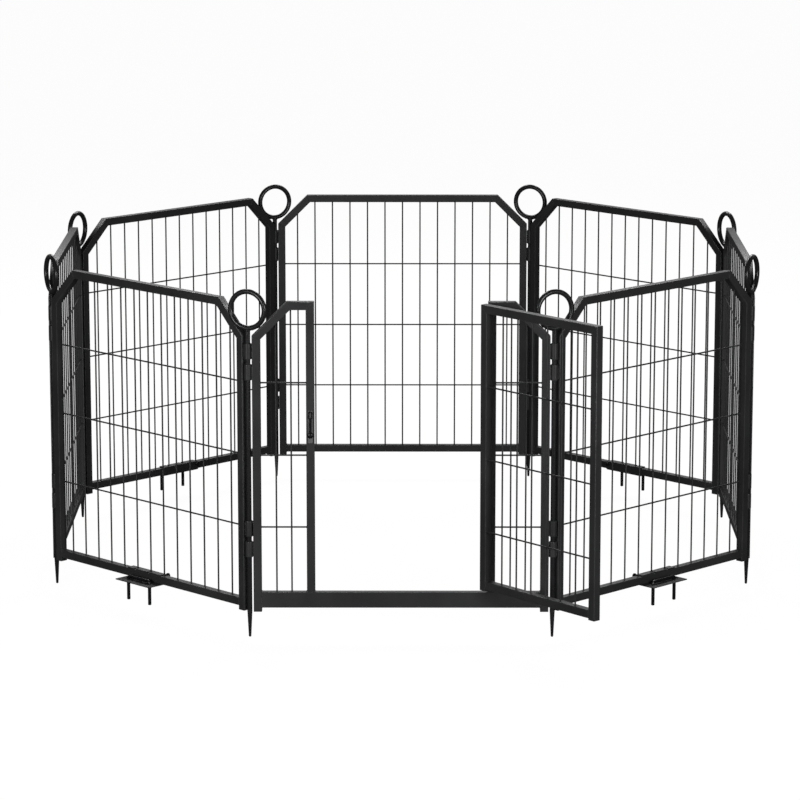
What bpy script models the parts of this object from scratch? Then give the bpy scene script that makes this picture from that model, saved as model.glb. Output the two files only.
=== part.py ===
"""Pet playpen: eight welded steel panels in a ring, hinged on eight ring-topped ground stakes.

Run with: blender --background --python part.py

Units are metres and +Z is up. The stake tips stand on z = 0. Each panel is modelled in its own
frame: x runs along the panel, to the right as seen from outside the pen, y points into the pen,
and z starts at the bottom of the posts. The door panel is at the front, on the -Y side.
"""

import bpy
import bmesh
from math import asin, cos, pi, radians, sin, tan
from mathutils import Matrix, Vector

# Panels
PANEL_COUNT = 8
PANEL_WIDTH = 0.5725
PANEL_HEIGHT = 0.611
TUBE = 0.016
FOOT = 0.008
CHAMFER = 0.067
HINGE_GAP = 0.0078
GAP = 0.0003

# Wire mesh
WIRE = 0.0032
WIRE_INSET = 0.0020
WIRE_PITCH = 0.0403
WIRE_COLUMNS = 13
WIRE_ROWS = 3
ROW_PITCH = 0.1425
WIRE_BITE = 0.0006

# Hinge sleeves on the posts
SLEEVE_RADIUS = 0.0075
SLEEVE_BORE = 0.0057
SLEEVE_LENGTH = 0.0307
SLEEVE_PITCH = 0.041
SLEEVE_TAB = 0.005
SLEEVE_BITE = 0.001
SLEEVE_GROUP_HEIGHTS = (0.1442, 0.4934)
SIDES = 10

# Ground stakes
STAKE_RADIUS = 0.0050
STAKE_TIP_RADIUS = 0.0025
STAKE_TAPER = 0.052
STAKE_DEPTH = 0.052
RING_RADIUS = 0.0355
RING_HEIGHT = 0.5945
RING_STEPS = 20
RING_SIDES = 6

# Door panel
DOORWAY_HALF = 0.1665
SILL_HEIGHT = 0.031
FIXED_COLUMNS = 2

# Door leaf, described closed, in the door panel's frame
LEAF_LEFT = -0.1559
LEAF_RIGHT = 0.1594
LEAF_BOTTOM = 0.0514
LEAF_TOP = 0.6093
LEAF_FOOT = 0.0030
LEAF_COLUMNS = 6
LEAF_OPEN_ANGLE = 131.7
LEAF_AXIS = (0.16295, -0.0100)

# Door hinge barrels and pins
BARREL_RADIUS = 0.0037
BARREL_BORE = 0.0024
BARREL_LENGTH = 0.024
BARREL_TAB = 0.0024
BARREL_REACH = 0.0065
BARREL_LEAN = radians(30)
BARREL_HEIGHTS = (0.105, 0.470)
PIN_RADIUS = 0.0020
PIN_HEAD_RADIUS = 0.0034
PIN_HEAD = 0.003

# Door latch
LATCH_PIVOT_HEIGHT = 0.3512
LATCH_PLATE_WIDTH = 0.010
LATCH_PLATE_BOTTOM = 0.3354
LATCH_PLATE_TOP = 0.3990
LATCH_PLATE_THICK = 0.0015
LATCH_BAR_THICK = 0.003
LATCH_BAR_WIDTH = 0.004
LATCH_EYE_RADIUS = 0.0058
LATCH_LOOP_HEIGHT = 0.0160
LATCH_LOOP_WIDTH = 0.0080
LATCH_LOOP_TOP = 0.3984
LATCH_BAR_SHARE = 0.98
RIVET_RADIUS = 0.0024
RIVET_HEAD_RADIUS = 0.0050
RIVET_HEAD = 0.0022
RIVET_CROWN = 0.6
RIVET_RIM = 0.4

# Ground anchors, clamped on the bottom rails of the four slanting panels
BRACKET_LENGTH = 0.102
BRACKET_SHIFT = 0.010
BRACKET_THICK = 0.002
BRACKET_LIP = -0.0070
BRACKET_SLOT = 0.0025
BRACKET_REACH = 0.040
STAPLE_RADIUS = 0.0034
STAPLE_SPREAD = 0.064
STAPLE_OUT = 0.022
STAPLE_BOTTOM = -0.035
STAPLE_BEND = 0.005
STAPLE_HOLE = 0.0040
SCREW_INSET = 0.0065
SCREW_HEIGHT = 0.0210
SCREW_RADIUS = 0.0022
SCREW_HEAD_RADIUS = 0.0050
SCREW_HEAD = 0.0045
SCREW_STAND = 0.004

# Modelling
MERGE = 0.00001
SHARP_ANGLE = radians(35)
EMPTY_SIZE = 0.05

# Finishes: colour, roughness, metallic
BLACK_COAT = (0.028, 0.028, 0.030)
FINISHES = {
    "frame_coat": (BLACK_COAT, 0.42, 0.3),
    "wire_coat": (BLACK_COAT, 0.45, 0.3),
    "stake_coat": (BLACK_COAT, 0.38, 0.3),
    "hardware_coat": ((0.022, 0.022, 0.024), 0.35, 0.5),
}

PANEL_NAMES = (
    "door_panel",
    "front_right_panel",
    "right_panel",
    "back_right_panel",
    "back_panel",
    "back_left_panel",
    "left_panel",
    "front_left_panel",
)
STAKE_NAMES = (
    "front_left_stake",
    "front_right_stake",
    "right_front_stake",
    "right_back_stake",
    "back_right_stake",
    "back_left_stake",
    "left_back_stake",
    "left_front_stake",
)
# Panel number to the side of its anchor that carries the clamping screw.
ANCHOR_SCREW_SIDES = {1: -1, 3: 1, 5: -1, 7: 1}

# Sizes that follow from the ones above
SIDE = PANEL_WIDTH + 2 * HINGE_GAP
RING_TURN = 2 * pi / PANEL_COUNT
APOTHEM = SIDE / (2 * tan(RING_TURN / 2))
HALF_WIDTH = PANEL_WIDTH / 2
WINDOW_HALF = HALF_WIDTH - TUBE
WINDOW_BOTTOM = FOOT + TUBE
WINDOW_TOP = PANEL_HEIGHT - TUBE
MITRE = TUBE * tan(pi / 8)
SILL_TOP = FOOT + SILL_HEIGHT
INNER_POST = DOORWAY_HALF + TUBE
FACE = TUBE / 2


def clear_scene():
    for item in list(bpy.data.objects):
        bpy.data.objects.remove(item, do_unlink=True)


def make_material(name):
    colour, roughness, metallic = FINISHES[name]
    material = bpy.data.materials.new(name)
    material.use_nodes = True
    shader = material.node_tree.nodes["Principled BSDF"]
    shader.inputs["Base Color"].default_value = (*colour, 1.0)
    shader.inputs["Roughness"].default_value = roughness
    shader.inputs["Metallic"].default_value = metallic
    material.diffuse_color = (*colour, 1.0)
    return material


def new_object(name, mesh, finish):
    """A part object in the pen's collection, with its finish."""
    item = bpy.data.objects.new(name, mesh)
    mesh.materials.clear()
    mesh.materials.append(bpy.data.materials[finish])
    bpy.data.collections["pet_playpen"].objects.link(item)
    return item


def evaluated_mesh(item):
    """The mesh that the object's curve or modifiers make, in its own coordinates, with caps welded."""
    bpy.context.view_layer.update()
    graph = bpy.context.evaluated_depsgraph_get()
    mesh = bpy.data.meshes.new_from_object(item.evaluated_get(graph))
    welded = bmesh.new()
    welded.from_mesh(mesh)
    bmesh.ops.remove_doubles(welded, verts=welded.verts, dist=MERGE)
    bmesh.ops.recalc_face_normals(welded, faces=welded.faces)
    welded.to_mesh(mesh)
    welded.free()
    return mesh


def take_mesh(item, turn=None):
    """Replaces a helper object by its finished mesh, turned and moved by a matrix if one is given."""
    mesh = evaluated_mesh(item)
    mesh.transform(item.matrix_world)
    if turn is not None:
        mesh.transform(turn)
    bpy.data.objects.remove(item, do_unlink=True)
    return mesh


def helper_object(name, data):
    item = bpy.data.objects.new(name, data)
    bpy.context.scene.collection.objects.link(item)
    return item


def flat_solid(loops, thickness, turn=None):
    """An outline with holes, given as loops of (x, y) points, extruded equally to both sides."""
    curve = bpy.data.curves.new("outline", "CURVE")
    curve.dimensions = "2D"
    curve.fill_mode = "BOTH"
    curve.extrude = thickness / 2
    for loop in loops:
        spline = curve.splines.new("POLY")
        spline.points.add(len(loop) - 1)
        for point, (x, y) in zip(spline.points, loop):
            point.co = (x, y, 0, 1)
        spline.use_cyclic_u = True
    return take_mesh(helper_object("outline", curve), turn)


def box_mesh(low, high):
    """A box between two corners."""
    low = Vector(low)
    high = Vector(high)
    shape = bmesh.new()
    bmesh.ops.create_cube(shape, size=1.0)
    bmesh.ops.scale(shape, vec=high - low, verts=shape.verts)
    bmesh.ops.translate(shape, vec=(low + high) / 2, verts=shape.verts)
    mesh = bpy.data.meshes.new("box")
    shape.to_mesh(mesh)
    shape.free()
    return mesh


def turned_mesh(profile, sides, turn=None):
    """A solid of revolution about z. The profile's (radius, z) points run from top to bottom."""
    mesh = bpy.data.meshes.new("profile")
    points = [(radius, 0, z) for radius, z in profile]
    mesh.from_pydata(points, [(i, i + 1) for i in range(len(points) - 1)], [])
    item = helper_object("turned", mesh)
    screw = item.modifiers.new("turn", "SCREW")
    screw.steps = sides
    screw.render_steps = sides
    screw.use_merge_vertices = True
    screw.merge_threshold = MERGE
    return take_mesh(item, turn)


def joined(meshes):
    """Several separate meshes as one."""
    shape = bmesh.new()
    for mesh in meshes:
        shape.from_mesh(mesh)
        bpy.data.meshes.remove(mesh)
    mesh = bpy.data.meshes.new("joined")
    shape.to_mesh(mesh)
    shape.free()
    return mesh


def boolean(base, tool, operation):
    """Joins (UNION) or cuts (DIFFERENCE) the base mesh with the tool mesh."""
    base_item = helper_object("base", base)
    tool_item = helper_object("tool", tool)
    modifier = base_item.modifiers.new("combine", "BOOLEAN")
    modifier.operation = operation
    modifier.solver = "EXACT"
    modifier.object = tool_item
    mesh = take_mesh(base_item)
    bpy.data.objects.remove(tool_item, do_unlink=True)
    return mesh


def upright(y=0.0):
    """Stands a flat outline up, so that its y becomes z, in the plane at the given depth."""
    return Matrix.Translation((0, y, 0)) @ Matrix.Rotation(pi / 2, 4, "X")


def circle(radius, sides, centre=(0, 0)):
    turns = [2 * pi * i / sides for i in range(sides)]
    return [(centre[0] + radius * cos(turn), centre[1] + radius * sin(turn)) for turn in turns]


def mirrored(loop):
    return [(-x, y) for x, y in reversed(loop)]


# ---------------------------------------------------------------- panel frames


def chamfered_side():
    """The left outer edge of a panel, from the foot up to the top rail."""
    return [
        (-HALF_WIDTH, 0),
        (-HALF_WIDTH, PANEL_HEIGHT - CHAMFER),
        (-HALF_WIDTH + CHAMFER, PANEL_HEIGHT),
    ]


def chamfered_window_corner():
    """The left inner edge below and along the chamfer."""
    return [
        (-WINDOW_HALF, PANEL_HEIGHT - CHAMFER - MITRE),
        (-HALF_WIDTH + CHAMFER + MITRE, WINDOW_TOP),
    ]


def feet(half, bottom, rail):
    """The lower edge between two posts that stand a little below their rail, from right to left."""
    return [
        (half - TUBE, bottom),
        (half - TUBE, rail),
        (-half + TUBE, rail),
        (-half + TUBE, bottom),
    ]


def plain_frame_loops():
    left = chamfered_side()
    outer = left + mirrored(left) + feet(HALF_WIDTH, 0, FOOT)
    corner = [(-WINDOW_HALF, WINDOW_BOTTOM)] + chamfered_window_corner()
    return [outer, corner + mirrored(corner)]


def door_frame_loops():
    """Fixed sections on both sides of a doorway that is open at the top and has a deep sill."""
    left = chamfered_side() + [(-DOORWAY_HALF, PANEL_HEIGHT), (-DOORWAY_HALF, SILL_TOP)]
    outer = left + mirrored(left) + feet(HALF_WIDTH, 0, FOOT)
    window = [(-WINDOW_HALF, SILL_TOP)] + chamfered_window_corner()
    window += [(-INNER_POST, WINDOW_TOP), (-INNER_POST, SILL_TOP)]
    return [outer, window, mirrored(window)]


def sleeve_loops(radius, bore, tab, reach, direction):
    """A sleeve seen from above, with a tab that welds it to its post in the given direction."""
    root = asin(tab / 2 / radius)
    step = 2 * pi / SIDES
    outer = [(radius * cos(step * i), radius * sin(step * i)) for i in range(1, SIDES)]
    outer += [
        (radius * cos(root), -tab / 2),
        (reach, -tab / 2),
        (reach, tab / 2),
        (radius * cos(root), tab / 2),
    ]
    turn = Matrix.Rotation(direction, 2)
    return [[tuple(turn @ Vector(point)) for point in loop] for loop in (outer, circle(bore, SIDES))]


def sleeve_mesh(loops, place, length):
    """A sleeve with its axis upright and its lower end at the given place."""
    middle = Vector(place) + Vector((0, 0, length / 2))
    return flat_solid(loops, length, Matrix.Translation(middle))


def hinge_sleeves():
    """Two sleeves at each end of a panel. Those at the right end sit above their neighbour's."""
    sleeves = []
    for side in (-1, 1):
        direction = 0 if side < 0 else pi
        reach = HINGE_GAP + SLEEVE_BITE
        loops = sleeve_loops(SLEEVE_RADIUS, SLEEVE_BORE, SLEEVE_TAB, reach, direction)
        for middle in SLEEVE_GROUP_HEIGHTS:
            bottom = middle + side * SLEEVE_PITCH / 2 - SLEEVE_LENGTH / 2
            sleeves.append(sleeve_mesh(loops, (side * SIDE / 2, 0, bottom), SLEEVE_LENGTH))
    return joined(sleeves)


def door_hinge_barrels(leaf_side):
    """The two barrels of the door hinges on the leaf, or the two below them on the door panel."""
    direction = pi - BARREL_LEAN if leaf_side else BARREL_LEAN
    loops = sleeve_loops(BARREL_RADIUS, BARREL_BORE, BARREL_TAB, BARREL_REACH, direction)
    lift = BARREL_LENGTH + GAP if leaf_side else 0
    barrels = [
        sleeve_mesh(loops, (*LEAF_AXIS, bottom + lift), BARREL_LENGTH) for bottom in BARREL_HEIGHTS
    ]
    return joined(barrels)


def plain_frame(name):
    mesh = flat_solid(plain_frame_loops(), TUBE, upright())
    return new_object(name, boolean(mesh, hinge_sleeves(), "UNION"), "frame_coat")


def door_frame(name):
    mesh = flat_solid(door_frame_loops(), TUBE, upright())
    mesh = boolean(mesh, hinge_sleeves(), "UNION")
    mesh = boolean(mesh, door_hinge_barrels(False), "UNION")
    return new_object(name, mesh, "frame_coat")


# ------------------------------------------------------------------- wire mesh


def window_top(x):
    """Height of a panel's window at x, under the top rail or its chamfered corners."""
    slope = PANEL_HEIGHT - CHAMFER - MITRE + WINDOW_HALF - abs(x)
    return min(WINDOW_TOP, slope)


def wire_mesh(name, columns, left, right, bottom, top_at):
    """Upright wires at the given places, with rows of cross wires welded on their inner side."""
    half = WIRE / 2
    near = WIRE_INSET - half
    far = WIRE_INSET + half
    uprights = []
    for x in columns:
        top = min(top_at(x - half), top_at(x + half)) - GAP
        uprights.append(box_mesh((x - half, near, bottom + GAP), (x + half, far, top)))
    rows = []
    start = far - WIRE_BITE
    for number in range(WIRE_ROWS):
        z = WINDOW_BOTTOM + (number + 1) * ROW_PITCH
        rows.append(box_mesh((left + GAP, start, z - half), (right - GAP, start + WIRE, z + half)))
    mesh = boolean(joined(uprights), joined(rows), "UNION")
    return new_object(name, mesh, "wire_coat")


def spread(count, low, high):
    """Places that divide the span from low to high evenly."""
    step = (high - low) / (count + 1)
    return [low + step * (i + 1) for i in range(count)]


def plain_columns():
    return [WIRE_PITCH * (i - (WIRE_COLUMNS - 1) / 2) for i in range(WIRE_COLUMNS)]


def plain_wire_mesh(name):
    return wire_mesh(name, plain_columns(), -WINDOW_HALF, WINDOW_HALF, WINDOW_BOTTOM, window_top)


def fixed_wire_mesh(name, side):
    low, high = sorted((side * WINDOW_HALF, side * INNER_POST))
    return wire_mesh(name, spread(FIXED_COLUMNS, low, high), low, high, SILL_TOP, window_top)


# ------------------------------------------------------------------- door leaf


def leaf_frame(name):
    """The leaf's tube frame, closed, with its two hinge barrels."""
    middle = (LEAF_LEFT + LEAF_RIGHT) / 2
    half = (LEAF_RIGHT - LEAF_LEFT) / 2
    outer = [(-half, LEAF_BOTTOM - LEAF_FOOT), (-half, LEAF_TOP)]
    outer += mirrored(outer) + feet(half, LEAF_BOTTOM - LEAF_FOOT, LEAF_BOTTOM)
    inner = [(TUBE - half, LEAF_BOTTOM + TUBE), (TUBE - half, LEAF_TOP - TUBE)]
    inner += mirrored(inner)
    mesh = flat_solid([outer, inner], TUBE, Matrix.Translation((middle, 0, 0)) @ upright())
    return new_object(name, boolean(mesh, door_hinge_barrels(True), "UNION"), "frame_coat")


def leaf_wire_mesh(name):
    left = LEAF_LEFT + TUBE
    right = LEAF_RIGHT - TUBE
    columns = spread(LEAF_COLUMNS, left, right)
    return wire_mesh(name, columns, left, right, LEAF_BOTTOM + TUBE, lambda x: LEAF_TOP - TUBE)


def hinge_pin(name, bottom):
    """A headed pin standing in a door hinge's two barrels."""
    top = bottom + 2 * BARREL_LENGTH + 2 * GAP
    profile = [
        (0, top + PIN_HEAD),
        (PIN_HEAD_RADIUS, top + PIN_HEAD),
        (PIN_HEAD_RADIUS, top),
        (PIN_RADIUS, top),
        (PIN_RADIUS, bottom),
        (0, bottom),
    ]
    turn = Matrix.Translation((*LEAF_AXIS, 0))
    return new_object(name, turned_mesh(profile, SIDES, turn), "hardware_coat")


# ----------------------------------------------------------------------- latch


def latch_x():
    return -(DOORWAY_HALF + TUBE / 2)


def latch_plate(name):
    """A thin backing plate on the doorway post, with a hole for the rivet."""
    half = LATCH_PLATE_WIDTH / 2
    outer = [
        (-half, LATCH_PLATE_BOTTOM),
        (half, LATCH_PLATE_BOTTOM),
        (half, LATCH_PLATE_TOP),
        (-half, LATCH_PLATE_TOP),
    ]
    hole = circle(RIVET_RADIUS + 2 * GAP, SIDES, (0, LATCH_PIVOT_HEIGHT))
    depth = -FACE - GAP - LATCH_PLATE_THICK / 2
    turn = Matrix.Translation((latch_x(), 0, 0)) @ upright(depth)
    return new_object(name, flat_solid([outer, hole], LATCH_PLATE_THICK, turn), "frame_coat")


def long_circle(width, height, middle, sides):
    """An upright oval: two half circles joined by straight sides."""
    radius = width / 2
    straight = height / 2 - radius
    half = sides // 2
    points = []
    for end in (1, -1):
        for i in range(half + 1):
            angle = pi * i / half + (0 if end > 0 else pi)
            points.append((radius * cos(angle), middle + end * straight + radius * sin(angle)))
    return points


def latch_bar(name):
    """A flat bar with an eye on the rivet and a finger loop at its free end, standing upright."""
    middle = LATCH_LOOP_TOP - LATCH_PIVOT_HEIGHT - LATCH_LOOP_HEIGHT / 2
    half = LATCH_BAR_WIDTH / 2
    eye = circle(LATCH_EYE_RADIUS, SIDES)
    loop = long_circle(LATCH_LOOP_WIDTH, LATCH_LOOP_HEIGHT, middle, SIDES)
    ends = joined([flat_solid([outline], LATCH_BAR_THICK) for outline in (eye, loop)])
    bar = [(-half, 0), (half, 0), (half, middle), (-half, middle)]
    mesh = boolean(flat_solid([bar], LATCH_BAR_THICK * LATCH_BAR_SHARE), ends, "UNION")
    slot_height = LATCH_LOOP_HEIGHT - LATCH_LOOP_WIDTH / 2
    hole = long_circle(LATCH_LOOP_WIDTH / 2, slot_height, middle, SIDES)
    cuts = [
        flat_solid([circle(RIVET_RADIUS + 2 * GAP, SIDES)], 2 * LATCH_BAR_THICK),
        flat_solid([hole], 2 * LATCH_BAR_THICK),
    ]
    mesh = boolean(mesh, joined(cuts), "DIFFERENCE")
    mesh.transform(upright())
    return new_object(name, mesh, "hardware_coat")


def latch_bar_depth():
    return -FACE - 2 * GAP - LATCH_PLATE_THICK - LATCH_BAR_THICK / 2


def latch_rivet(name):
    """A round-headed rivet through the plate and the bar's eye."""
    under_head = FACE + 3 * GAP + LATCH_PLATE_THICK + LATCH_BAR_THICK
    profile = [
        (0, under_head + RIVET_HEAD),
        (RIVET_HEAD_RADIUS * RIVET_CROWN, under_head + RIVET_HEAD),
        (RIVET_HEAD_RADIUS, under_head + RIVET_HEAD * RIVET_RIM),
        (RIVET_HEAD_RADIUS, under_head),
        (RIVET_RADIUS, under_head),
        (RIVET_RADIUS, FACE + GAP),
        (0, FACE + GAP),
    ]
    turn = Matrix.Translation((latch_x(), 0, LATCH_PIVOT_HEIGHT)) @ Matrix.Rotation(pi / 2, 4, "X")
    return new_object(name, turned_mesh(profile, SIDES, turn), "hardware_coat")


# ---------------------------------------------------------------------- stakes


def stake(name):
    """A pointed rod with a ring welded on top. Its origin is on the hinge line, at foot height."""
    top = RING_HEIGHT - RING_RADIUS
    profile = [
        (0, top),
        (STAKE_RADIUS, top),
        (STAKE_RADIUS, STAKE_TAPER - STAKE_DEPTH),
        (STAKE_TIP_RADIUS, -STAKE_DEPTH),
        (0, -STAKE_DEPTH),
    ]
    rod = turned_mesh(profile, SIDES)
    bpy.ops.mesh.primitive_torus_add(
        major_segments=RING_STEPS,
        minor_segments=RING_SIDES,
        major_radius=RING_RADIUS,
        minor_radius=STAKE_RADIUS,
        location=(0, 0, RING_HEIGHT),
        rotation=(pi / 2, 0, 0),
    )
    ring = take_mesh(bpy.context.object)
    return new_object(name, boolean(rod, ring, "UNION"), "stake_coat")


# --------------------------------------------------------------------- anchors


def bracket_middle(screw_side):
    return -screw_side * BRACKET_SHIFT


def screw_place(screw_side):
    """The screw's axis runs level from the rail's inner face towards the middle of the pen."""
    x = bracket_middle(screw_side) + screw_side * (BRACKET_LENGTH / 2 - SCREW_INSET)
    return Matrix.Translation((x, 0, SCREW_HEIGHT)) @ Matrix.Rotation(-pi / 2, 4, "X")


def anchor_bracket(name, screw_side):
    """A plate folded over the bottom rail from inside, with a shelf that reaches out under it."""
    under = FOOT - GAP
    over = WINDOW_BOTTOM + GAP
    inside = FACE + GAP
    outline = [
        (-BRACKET_REACH, under - BRACKET_THICK),
        (inside + BRACKET_THICK, under - BRACKET_THICK),
        (inside + BRACKET_THICK, over + BRACKET_THICK),
        (BRACKET_LIP, over + BRACKET_THICK),
        (BRACKET_LIP, over),
        (inside, over),
        (inside, under),
        (-BRACKET_REACH, under),
    ]
    place = Matrix.Translation((bracket_middle(screw_side), 0, 0))
    turn = place @ Matrix.Rotation(pi / 2, 4, "Z") @ upright()
    mesh = flat_solid([outline], BRACKET_LENGTH, turn)
    return new_object(name, boolean(mesh, bracket_cuts(screw_side), "DIFFERENCE"), "frame_coat")


def bracket_cuts(screw_side):
    """Holes for the staple and the screw, and slots in the upper flange for the panel's wires."""
    middle = bracket_middle(screw_side)
    cuts = []
    for side in (-1, 1):
        place = Matrix.Translation((middle + side * STAPLE_SPREAD / 2, -STAPLE_OUT, FOOT))
        cuts.append(flat_solid([circle(STAPLE_HOLE, SIDES)], 4 * BRACKET_THICK, place))
    place = screw_place(screw_side) @ Matrix.Translation((0, 0, FACE + BRACKET_THICK))
    cuts.append(flat_solid([circle(SCREW_RADIUS + 2 * GAP, SIDES)], 2 * BRACKET_THICK, place))
    for x in plain_columns():
        if abs(x - middle) < BRACKET_LENGTH / 2:
            low = (x - BRACKET_SLOT, -TUBE, WINDOW_BOTTOM)
            high = (x + BRACKET_SLOT, WIRE_INSET + BRACKET_SLOT, WINDOW_BOTTOM + 2 * BRACKET_THICK)
            cuts.append(box_mesh(low, high))
    return joined(cuts)


def staple_points():
    """Centre line of the U-shaped anchor: up one prong, across the bridge and down the other."""
    half = STAPLE_SPREAD / 2
    corner = half - STAPLE_BEND
    right = [(half, STAPLE_BOTTOM)]
    for angle in (0, pi / 6, pi / 3, pi / 2):
        right.append((corner + STAPLE_BEND * cos(angle), FOOT + STAPLE_BEND * sin(angle)))
    return right + mirrored(right)


def staple(name):
    """The bridge lies on the bracket's shelf, and the prongs pass through its two holes."""
    curve = bpy.data.curves.new("staple", "CURVE")
    curve.dimensions = "3D"
    curve.bevel_depth = STAPLE_RADIUS
    curve.bevel_resolution = 2
    curve.use_fill_caps = True
    points = staple_points()
    spline = curve.splines.new("POLY")
    spline.points.add(len(points) - 1)
    for point, (x, z) in zip(spline.points, points):
        point.co = (x, 0, z, 1)
    return new_object(name, take_mesh(helper_object("staple", curve)), "hardware_coat")


def anchor_screw(name, screw_side):
    """A thumb screw through the bracket from inside, pressing on the inner face of the rail."""
    end = FACE + GAP
    stand = end + BRACKET_THICK + SCREW_STAND
    profile = [
        (0, stand + SCREW_HEAD),
        (SCREW_HEAD_RADIUS, stand + SCREW_HEAD),
        (SCREW_HEAD_RADIUS, stand),
        (SCREW_RADIUS, stand),
        (SCREW_RADIUS, end),
        (0, end),
    ]
    return new_object(name, turned_mesh(profile, SIDES, screw_place(screw_side)), "hardware_coat")


# -------------------------------------------------------------------- assembly


def new_empty(name, parent, location, turn):
    """An empty on a joint's axis, which the pieces that turn about it hang on."""
    empty = bpy.data.objects.new(name, None)
    bpy.data.collections["pet_playpen"].objects.link(empty)
    empty.empty_display_size = EMPTY_SIZE
    empty.parent = parent
    empty.location = location
    empty.rotation_euler = (0, 0, turn)
    return empty


def attach(item, parent, location=(0, 0, 0)):
    item.parent = parent
    item.location = location
    return item


def corner_place(number):
    """The hinge line at a panel's left end, as seen from outside."""
    radius = SIDE / (2 * sin(RING_TURN / 2))
    angle = -pi / 2 + (number - 0.5) * RING_TURN
    return Vector((radius * cos(angle), radius * sin(angle), 0))


def panel_empty(number, pen):
    """A panel's empty stands on the hinge line that joins the panel to the one nearer the door."""
    right_half = number <= PANEL_COUNT // 2
    corner = corner_place(number if right_half else number + 1)
    empty = new_empty(PANEL_NAMES[number] + "_hinge", pen, corner, number * RING_TURN)
    return empty, Vector((SIDE / 2 if right_half else -SIDE / 2, 0, 0))


def add_plain_panel(number, pen):
    name = PANEL_NAMES[number]
    empty, middle = panel_empty(number, pen)
    attach(plain_frame(name + "_frame"), empty, middle)
    attach(plain_wire_mesh(name + "_wire_mesh"), empty, middle)
    if number in ANCHOR_SCREW_SIDES:
        add_anchor(name, ANCHOR_SCREW_SIDES[number], empty, middle)


def add_anchor(name, side, empty, middle):
    attach(anchor_bracket(name + "_anchor_bracket", side), empty, middle)
    attach(anchor_screw(name + "_anchor_screw", side), empty, middle)
    place = middle + Vector((bracket_middle(side), -STAPLE_OUT, 0))
    attach(staple(name + "_anchor_staple"), empty, place)


def add_door_panel(pen):
    empty = new_empty("door_panel_place", pen, (0, -APOTHEM, 0), 0)
    attach(door_frame("door_panel_frame"), empty)
    attach(fixed_wire_mesh("door_panel_left_wire_mesh", -1), empty)
    attach(fixed_wire_mesh("door_panel_right_wire_mesh", 1), empty)
    attach(latch_plate("latch_plate"), empty)
    attach(latch_rivet("latch_rivet"), empty)
    attach(latch_bar("latch_bar"), empty, (latch_x(), latch_bar_depth(), LATCH_PIVOT_HEIGHT))
    for label, bottom in zip(("lower", "upper"), BARREL_HEIGHTS):
        attach(hinge_pin("door_hinge_pin_" + label, bottom), empty)
    axis = Vector((*LEAF_AXIS, 0))
    hinge = new_empty("door_leaf_hinge", empty, axis, radians(LEAF_OPEN_ANGLE))
    attach(leaf_frame("door_leaf_frame"), hinge, -axis)
    attach(leaf_wire_mesh("door_leaf_wire_mesh"), hinge, -axis)


def add_stakes(pen):
    """Each ring faces outward from the pen's centre."""
    for number, name in enumerate(STAKE_NAMES):
        item = attach(stake(name), pen, corner_place(number))
        item.rotation_euler = (0, 0, (number - 0.5) * RING_TURN)


def centre_on_origin(pen):
    """Moves the pen so that x = y = 0 is the middle of its box, and its lowest point is at z = 0."""
    bpy.context.view_layer.update()
    parts = [item for item in bpy.data.collections["pet_playpen"].objects if item.type == "MESH"]
    corners = [item.matrix_world @ vertex.co for item in parts for vertex in item.data.vertices]
    low = [min(corner[axis] for corner in corners) for axis in range(3)]
    high = [max(corner[axis] for corner in corners) for axis in range(3)]
    pen.location = (-(low[0] + high[0]) / 2, -(low[1] + high[1]) / 2, -low[2])
    bpy.context.view_layer.update()


def shade_parts():
    for item in bpy.data.collections["pet_playpen"].objects:
        if item.type == "MESH":
            item.data.shade_smooth()
            item.data.set_sharp_from_angle(angle=SHARP_ANGLE)


def main():
    clear_scene()
    for name in FINISHES:
        make_material(name)
    collection = bpy.data.collections.new("pet_playpen")
    bpy.context.scene.collection.children.link(collection)
    pen = new_empty("pen", None, (0, 0, 0), 0)
    add_door_panel(pen)
    for number in range(1, PANEL_COUNT):
        add_plain_panel(number, pen)
    add_stakes(pen)
    centre_on_origin(pen)
    shade_parts()


main()
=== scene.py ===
"""Looks of the pet playpen: powder-coated tube panels, welded wire meshes, ring-topped stakes,
ground anchors and a door latch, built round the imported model's frame.

Units are metres and +Z is up. Each panel is modelled in its own frame: x runs along the panel, to
the right as seen from outside the pen, y points into the pen, and z starts at the bottom of the
posts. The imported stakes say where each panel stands.
"""

import random
from math import asin, atan2, cos, pi, radians, sin, tan

import bmesh
import bpy
from mathutils import Matrix, Vector


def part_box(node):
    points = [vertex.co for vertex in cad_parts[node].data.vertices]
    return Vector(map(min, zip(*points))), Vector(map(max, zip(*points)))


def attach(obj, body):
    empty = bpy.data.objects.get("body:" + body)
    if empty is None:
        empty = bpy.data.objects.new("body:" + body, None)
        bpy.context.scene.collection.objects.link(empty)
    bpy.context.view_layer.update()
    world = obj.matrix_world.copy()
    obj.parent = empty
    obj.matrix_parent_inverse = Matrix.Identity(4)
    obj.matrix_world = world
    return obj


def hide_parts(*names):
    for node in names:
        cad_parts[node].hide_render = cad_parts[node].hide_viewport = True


# Panels
PANEL_WIDTH = 0.5725
PANEL_HEIGHT = 0.611
TUBE = 0.016
TUBE_CORNER = 0.0013
TUBE_WALL = 0.0012
FOOT = 0.008
CHAMFER = 0.067
HINGE_GAP = 0.0078
GAP = 0.0003
RAIL_LET_IN = 0.0010

# Wire mesh
WIRE = 0.0032
WIRE_INSET = 0.0020
WIRE_SIDES = 10
WIRE_PITCH = 0.0403
WIRE_COLUMNS = 13
WIRE_ROWS = 3
ROW_PITCH = 0.1425
WIRE_BITE = 0.0006
WIRE_LET_IN = 0.0006
NUGGET = 0.0021
NUGGET_DEPTH = NUGGET * 0.8
CROSS_NUGGET = NUGGET * 0.85

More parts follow.
